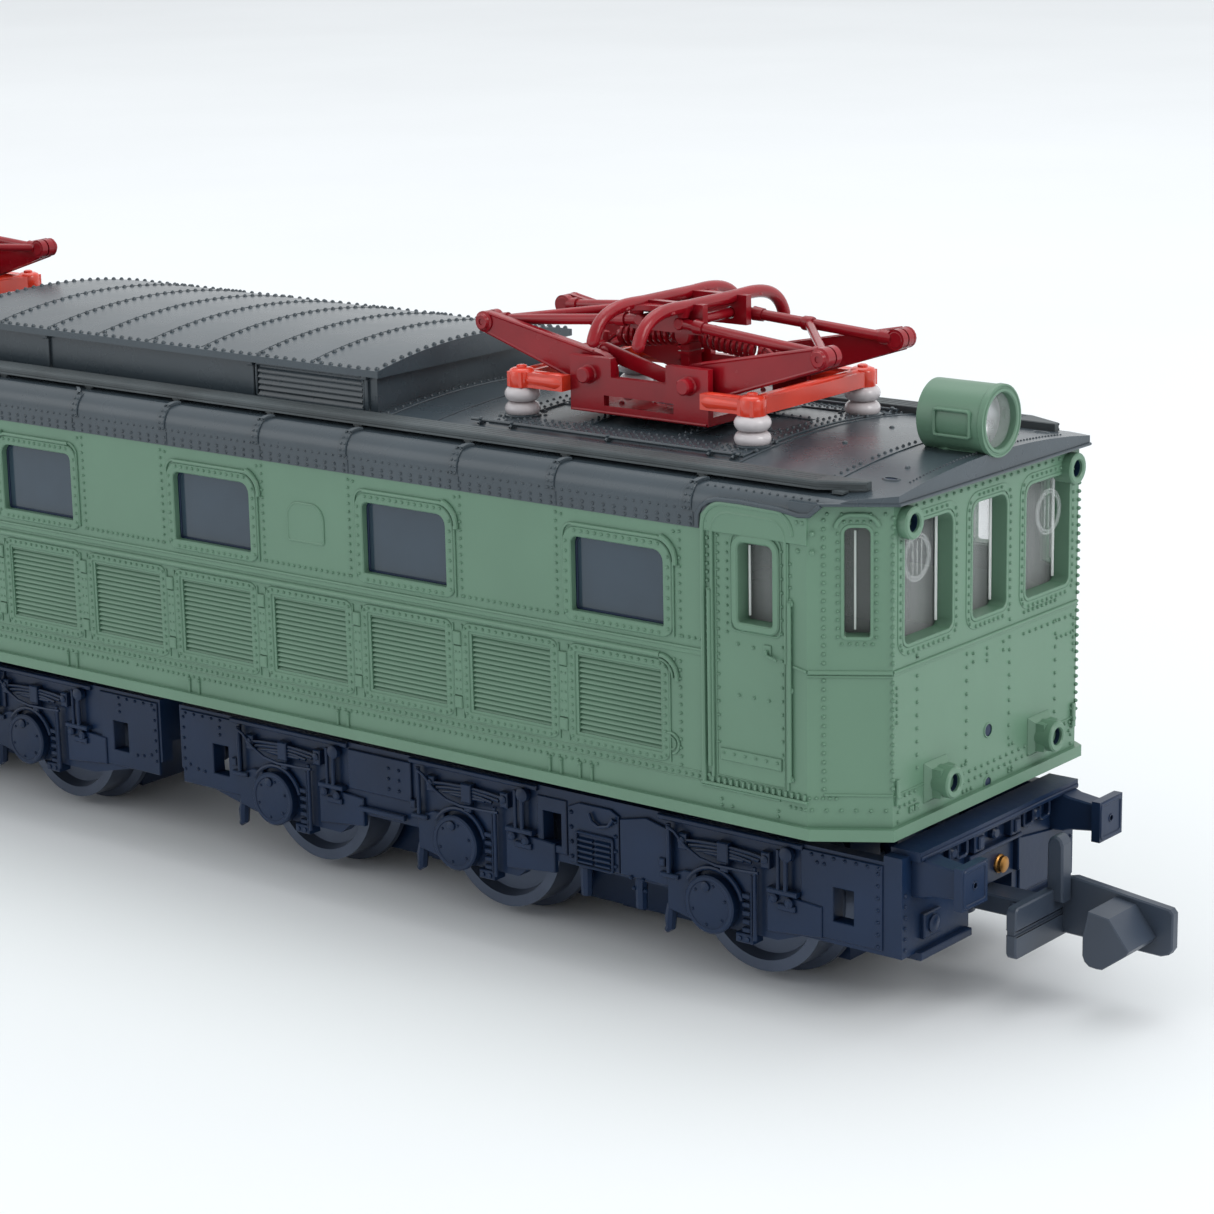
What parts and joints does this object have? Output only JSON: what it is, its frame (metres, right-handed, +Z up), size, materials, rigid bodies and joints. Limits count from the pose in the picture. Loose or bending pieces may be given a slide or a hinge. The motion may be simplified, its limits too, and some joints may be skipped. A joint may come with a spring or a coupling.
{
  "type": "model electric locomotive",
  "caption": "N-scale model of a six-axle boxy electric locomotive: riveted body with cabs at both ends, geared bogies, hook couplers and folding pantographs.",
  "frame": {"origin": "middle of the footprint, at the level of the wheel flanges' lowest points", "axes": "+X along the length to the front cab, +Y to the left side, +Z up"},
  "size_m": [0.1124, 0.0206, 0.0316],
  "materials": {
    "body_green": "satin",
    "roof_grey": "semi-matt",
    "tinted_window": "smooth, dark tint",
    "clear_window": "clear moulding",
    "cast_weight": "blackened zinc casting",
    "motor_steel": "plated",
    "board_green": "solder resist",
    "plain_steel": "bright",
    "brass": "turned",
    "gear_nylon": "moulded nylon",
    "wheel_steel": "blackened",
    "underframe_black": "moulded, satin",
    "insulator_white": "moulded, light gloss",
    "pantograph_orange": "moulded, gloss",
    "pantograph_red": "gloss enamel"
  },
  "bodies": {
    "superstructure": {"body_shell": "body_green", "roof": "roof_grey", "roof_clerestory": "roof_grey", "walkway_left": "roof_grey", "walkway_right": "roof_grey", "side_glazing": "tinted_window", "cab_glazing_front": "clear_window", "cab_glazing_rear": "clear_window", "headlight_front": "body_green", "headlight_rear": "body_green", "lamp_lenses": "clear_window", "cab_handrails": "body_green", "chassis_frame": "cast_weight", "motor_case": "motor_steel", "circuit_board": "board_green", "board_screws": "plain_steel", "light_guides": "clear_window", "pantograph_insulators": "insulator_white", "pantograph_frame_front": "pantograph_orange", "pantograph_frame_rear": "pantograph_orange", "pantograph_base_front": "pantograph_red", "pantograph_base_rear": "pantograph_red", "pantograph_springs_front": "pantograph_red", "pantograph_springs_rear": "pantograph_red"},
    "rotor": {"motor_shaft": "plain_steel", "flywheels": "brass", "worms": "brass"},
    "front_bogie": {"bogie_frame_front": "underframe_black", "gearbox_front": "underframe_black", "keeper_plate_front": "underframe_black", "buffers_front": "underframe_black"},
    "worm_wheel_front": {"worm_wheel_front": "gear_nylon"},
    "idler_inner_front": {"idler_inner_front": "gear_nylon"},
    "idler_outer_front": {"idler_outer_front": "gear_nylon"},
    "wheelset_inner_front": {"wheelset_inner_front": "wheel_steel"},
    "wheelset_middle_front": {"wheelset_middle_front": "wheel_steel"},
    "wheelset_outer_front": {"wheelset_outer_front": "wheel_steel"},
    "coupler_front": {"coupler_front": "underframe_black"},
    "lower_arm_outer_front": {"lower_arm_outer_front": "pantograph_red"},
    "upper_arm_outer_front": {"upper_arm_outer_front": "pantograph_red"},
    "lower_arm_inner_front": {"lower_arm_inner_front": "pantograph_red"},
    "upper_arm_inner_front": {"upper_arm_inner_front": "pantograph_red"},
    "collector_head_front": {"collector_head_front": "pantograph_red"},
    "rear_bogie": {"bogie_frame_rear": "underframe_black", "gearbox_rear": "underframe_black", "keeper_plate_rear": "underframe_black", "buffers_rear": "underframe_black"},
    "worm_wheel_rear": {"worm_wheel_rear": "gear_nylon"},
    "idler_inner_rear": {"idler_inner_rear": "gear_nylon"},
    "idler_outer_rear": {"idler_outer_rear": "gear_nylon"},
    "wheelset_inner_rear": {"wheelset_inner_rear": "wheel_steel"},
    "wheelset_middle_rear": {"wheelset_middle_rear": "wheel_steel"},
    "wheelset_outer_rear": {"wheelset_outer_rear": "wheel_steel"},
    "coupler_rear": {"coupler_rear": "underframe_black"},
    "lower_arm_outer_rear": {"lower_arm_outer_rear": "pantograph_red"},
    "upper_arm_outer_rear": {"upper_arm_outer_rear": "pantograph_red"},
    "lower_arm_inner_rear": {"lower_arm_inner_rear": "pantograph_red"},
    "upper_arm_inner_rear": {"upper_arm_inner_rear": "pantograph_red"},
    "collector_head_rear": {"collector_head_rear": "pantograph_red"}
  },
  "joints": [
    {"name": "motor_spin", "type": "hinge", "parent": "superstructure", "child": "rotor", "pos_m": [0, 0, 0.01407], "axis": [1, 0, 0], "continuous": true},
    {"name": "front_bogie_swivel", "type": "hinge", "parent": "superstructure", "child": "front_bogie", "pos_m": [0.0239, 0, 0.008], "axis": [0, 0, 1], "range_deg": [-6, 6]},
    {"name": "front_worm_wheel_spin", "type": "hinge", "parent": "front_bogie", "child": "worm_wheel_front", "pos_m": [0.0239, 0, 0.00957], "axis": [0, 1, 0], "continuous": true},
    {"name": "front_idler_inner_spin", "type": "hinge", "parent": "front_bogie", "child": "idler_inner_front", "pos_m": [0.02843, 0, 0.00628], "axis": [0, 1, 0], "continuous": true},
    {"name": "front_idler_outer_spin", "type": "hinge", "parent": "front_bogie", "child": "idler_outer_front", "pos_m": [0.03337, 0, 0.00549], "axis": [0, 1, 0], "continuous": true},
    {"name": "front_inner_axle_spin", "type": "hinge", "parent": "front_bogie", "child": "wheelset_inner_front", "pos_m": [0.0096, 0, 0.0042], "axis": [0, 1, 0], "continuous": true},
    {"name": "front_middle_axle_spin", "type": "hinge", "parent": "front_bogie", "child": "wheelset_middle_front", "pos_m": [0.0223, 0, 0.0042], "axis": [0, 1, 0], "continuous": true},
    {"name": "front_outer_axle_spin", "type": "hinge", "parent": "front_bogie", "child": "wheelset_outer_front", "pos_m": [0.0382, 0, 0.0042], "axis": [0, 1, 0], "continuous": true},
    {"name": "front_coupler_swing", "type": "hinge", "parent": "front_bogie", "child": "coupler_front", "pos_m": [0.0453, 0, 0.0043], "axis": [0, 0, 1], "range_deg": [-12, 12], "stiffness_Nm_per_rad": 0.00002},
    {"name": "front_pantograph_raise", "type": "hinge", "parent": "superstructure", "child": "lower_arm_outer_front", "pos_m": [0.03285, 0, 0.0279], "axis": [0, -1, 0], "range_deg": [0, 50], "deforming": ["pantograph_springs_front"]},
    {"name": "front_pantograph_outer_knee", "type": "hinge", "parent": "lower_arm_outer_front", "child": "upper_arm_outer_front", "pos_m": [0.03995, 0, 0.02975], "axis": [0, 1, 0], "range_deg": [0, 102.5]},
    {"name": "front_pantograph_inner_raise", "type": "hinge", "parent": "superstructure", "child": "lower_arm_inner_front", "pos_m": [0.02685, 0, 0.0279], "axis": [0, 1, 0], "range_deg": [0, 50]},
    {"name": "front_pantograph_inner_knee", "type": "hinge", "parent": "lower_arm_inner_front", "child": "upper_arm_inner_front", "pos_m": [0.01975, 0, 0.02975], "axis": [0, -1, 0], "range_deg": [0, 102.5]},
    {"name": "front_pantograph_head_level", "type": "hinge", "parent": "upper_arm_outer_front", "child": "collector_head_front", "pos_m": [0.03105, 0, 0.03045], "axis": [0, 1, 0], "range_deg": [-52.5, 0]},
    {"name": "rear_bogie_swivel", "type": "hinge", "parent": "superstructure", "child": "rear_bogie", "pos_m": [-0.0239, 0, 0.008], "axis": [0, 0, 1], "range_deg": [-6, 6]},
    {"name": "rear_worm_wheel_spin", "type": "hinge", "parent": "rear_bogie", "child": "worm_wheel_rear", "pos_m": [-0.0239, 0, 0.00957], "axis": [0, 1, 0], "continuous": true},
    {"name": "rear_idler_inner_spin", "type": "hinge", "parent": "rear_bogie", "child": "idler_inner_rear", "pos_m": [-0.02843, 0, 0.00628], "axis": [0, 1, 0], "continuous": true},
    {"name": "rear_idler_outer_spin", "type": "hinge", "parent": "rear_bogie", "child": "idler_outer_rear", "pos_m": [-0.03337, 0, 0.00549], "axis": [0, 1, 0], "continuous": true},
    {"name": "rear_inner_axle_spin", "type": "hinge", "parent": "rear_bogie", "child": "wheelset_inner_rear", "pos_m": [-0.0096, 0, 0.0042], "axis": [0, 1, 0], "continuous": true},
    {"name": "rear_middle_axle_spin", "type": "hinge", "parent": "rear_bogie", "child": "wheelset_middle_rear", "pos_m": [-0.0223, 0, 0.0042], "axis": [0, 1, 0], "continuous": true},
    {"name": "rear_outer_axle_spin", "type": "hinge", "parent": "rear_bogie", "child": "wheelset_outer_rear", "pos_m": [-0.0382, 0, 0.0042], "axis": [0, 1, 0], "continuous": true},
    {"name": "rear_coupler_swing", "type": "hinge", "parent": "rear_bogie", "child": "coupler_rear", "pos_m": [-0.0453, 0, 0.0043], "axis": [0, 0, 1], "range_deg": [-12, 12], "stiffness_Nm_per_rad": 0.00002},
    {"name": "rear_pantograph_raise", "type": "hinge", "parent": "superstructure", "child": "lower_arm_outer_rear", "pos_m": [-0.03285, 0, 0.0279], "axis": [0, 1, 0], "range_deg": [0, 50], "deforming": ["pantograph_springs_rear"]},
    {"name": "rear_pantograph_outer_knee", "type": "hinge", "parent": "lower_arm_outer_rear", "child": "upper_arm_outer_rear", "pos_m": [-0.03995, 0, 0.02975], "axis": [0, -1, 0], "range_deg": [0, 102.5]},
    {"name": "rear_pantograph_inner_raise", "type": "hinge", "parent": "superstructure", "child": "lower_arm_inner_rear", "pos_m": [-0.02685, 0, 0.0279], "axis": [0, -1, 0], "range_deg": [0, 50]},
    {"name": "rear_pantograph_inner_knee", "type": "hinge", "parent": "lower_arm_inner_rear", "child": "upper_arm_inner_rear", "pos_m": [-0.01975, 0, 0.02975], "axis": [0, 1, 0], "range_deg": [0, 102.5]},
    {"name": "rear_pantograph_head_level", "type": "hinge", "parent": "upper_arm_outer_rear", "child": "collector_head_rear", "pos_m": [-0.03105, 0, 0.03045], "axis": [0, -1, 0], "range_deg": [-52.5, 0]}
  ],
  "couplings": [
    {"joint": "front_worm_wheel_spin", "follows": "motor_spin", "ratio": -0.0625},
    {"joint": "front_idler_inner_spin", "follows": "motor_spin", "ratio": 0.083333},
    {"joint": "front_idler_outer_spin", "follows": "motor_spin", "ratio": -0.076923},
    {"joint": "front_middle_axle_spin", "follows": "motor_spin", "ratio": 0.083333},
    {"joint": "front_outer_axle_spin", "follows": "motor_spin", "ratio": 0.083333},
    {"joint": "front_pantograph_outer_knee", "follows": "front_pantograph_raise", "ratio": 2.05},
    {"joint": "front_pantograph_inner_raise", "follows": "front_pantograph_raise", "ratio": 1},
    {"joint": "front_pantograph_inner_knee", "follows": "front_pantograph_raise", "ratio": 2.05},
    {"joint": "front_pantograph_head_level", "follows": "front_pantograph_raise", "ratio": -1.05},
    {"joint": "rear_worm_wheel_spin", "follows": "motor_spin", "ratio": -0.0625},
    {"joint": "rear_idler_inner_spin", "follows": "motor_spin", "ratio": 0.083333},
    {"joint": "rear_idler_outer_spin", "follows": "motor_spin", "ratio": -0.076923},
    {"joint": "rear_middle_axle_spin", "follows": "motor_spin", "ratio": 0.083333},
    {"joint": "rear_outer_axle_spin", "follows": "motor_spin", "ratio": 0.083333},
    {"joint": "rear_pantograph_outer_knee", "follows": "rear_pantograph_raise", "ratio": 2.05},
    {"joint": "rear_pantograph_inner_raise", "follows": "rear_pantograph_raise", "ratio": 1},
    {"joint": "rear_pantograph_inner_knee", "follows": "rear_pantograph_raise", "ratio": 2.05},
    {"joint": "rear_pantograph_head_level", "follows": "rear_pantograph_raise", "ratio": -1.05}
  ]
}
